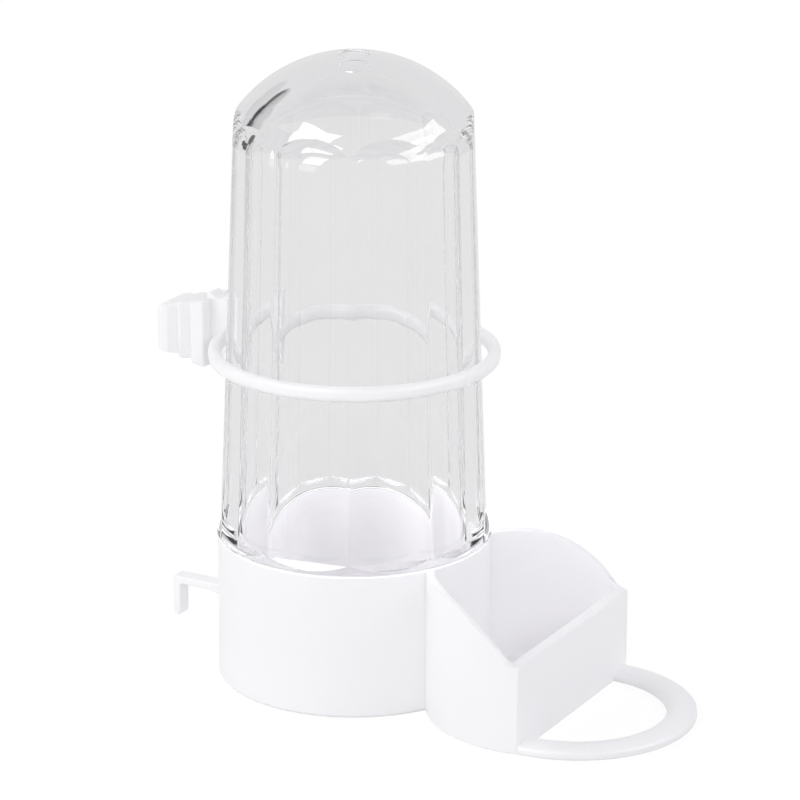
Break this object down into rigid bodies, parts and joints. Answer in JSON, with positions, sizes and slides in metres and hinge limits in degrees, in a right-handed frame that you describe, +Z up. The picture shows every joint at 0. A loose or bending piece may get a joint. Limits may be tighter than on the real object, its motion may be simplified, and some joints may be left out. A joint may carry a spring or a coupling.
{
  "type": "bird water fountain",
  "caption": "Gravity drinker for cage birds: clear faceted domed reservoir standing mouth down in a white cup with a drinking trough, perch loop, cage hook and clip ring.",
  "frame": {"origin": "on the cup's axis, on the flat underside", "axes": "+Z up along the reservoir's axis, -Y towards the trough and perch, +Y towards the cage wall with the hook and clip"},
  "size_m": [0.0582, 0.1172, 0.128],
  "materials": {
    "clear_reservoir": "clear, polished",
    "white_base": "satin gloss, moulded",
    "white_holder": "satin gloss, moulded"
  },
  "bodies": {
    "base": {"base_cup": "white_base", "drinking_trough": "white_base", "perch_loop": "white_base", "cage_hook": "white_base"},
    "reservoir": {"reservoir": "clear_reservoir"},
    "holder": {"holder_ring": "white_holder", "clip_block": "white_holder"}
  },
  "joints": [
    {"name": "reservoir_lift", "type": "slide", "parent": "base", "child": "reservoir", "axis": [0, 0, 1], "range_m": [0, 0.03]},
    {"name": "holder_slide", "type": "slide", "parent": "reservoir", "child": "holder", "axis": [0, 0, 1], "range_m": [0, 0.068]}
  ]
}
